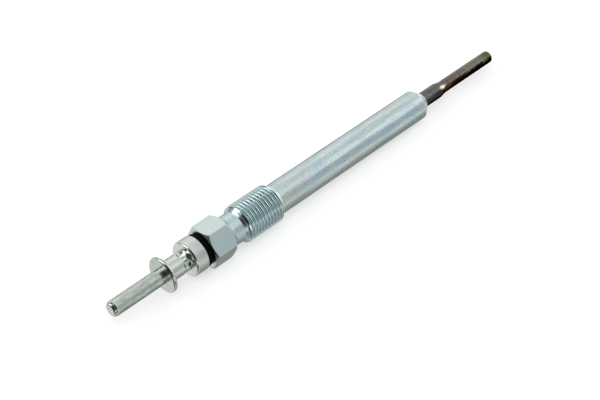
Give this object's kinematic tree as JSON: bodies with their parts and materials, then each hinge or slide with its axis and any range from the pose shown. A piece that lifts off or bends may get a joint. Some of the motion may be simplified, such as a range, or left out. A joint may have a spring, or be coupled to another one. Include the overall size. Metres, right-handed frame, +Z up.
{
  "type": "diesel glow plug",
  "caption": "Slim sheathed glow plug with a hexagon, threaded body, conical seat, dark stepped heating tube and push-on pin terminal; preheats a diesel cylinder.",
  "frame": {"origin": "bottom centre of the plug's box, on the surface it lies on", "axes": "+X along the plug from terminal to heated tip, +Z up; the axis dips 1.09 degrees towards the tip because the thread is wider than the shank, and the plug has rolled nearly onto a corner of its hexagon"},
  "size_m": [0.1326, 0.0116, 0.0106],
  "materials": {
    "zinc_plated_steel": "bright bluish zinc",
    "nickel_plated_steel": "bright nickel",
    "black_rubber": "matte black",
    "glass_filled_plastic": "moulded tan",
    "rod_steel": "drawn",
    "heat_tinted_alloy": "dark heat-tinted",
    "brown_rubber": "matte",
    "magnesia": "compacted powder",
    "control_wire": "drawn wire",
    "heating_wire": "oxidised wire"
  },
  "bodies": {
    "root": {"plug_body": "zinc_plated_steel", "terminal": "nickel_plated_steel", "o_ring": "black_rubber", "insulating_bush": "glass_filled_plastic", "inner_rod": "rod_steel", "heating_tube": "heat_tinted_alloy", "tube_seal": "brown_rubber", "magnesia_filling": "magnesia", "control_coil": "control_wire", "heating_coil": "heating_wire"}
  },
  "joints": []
}
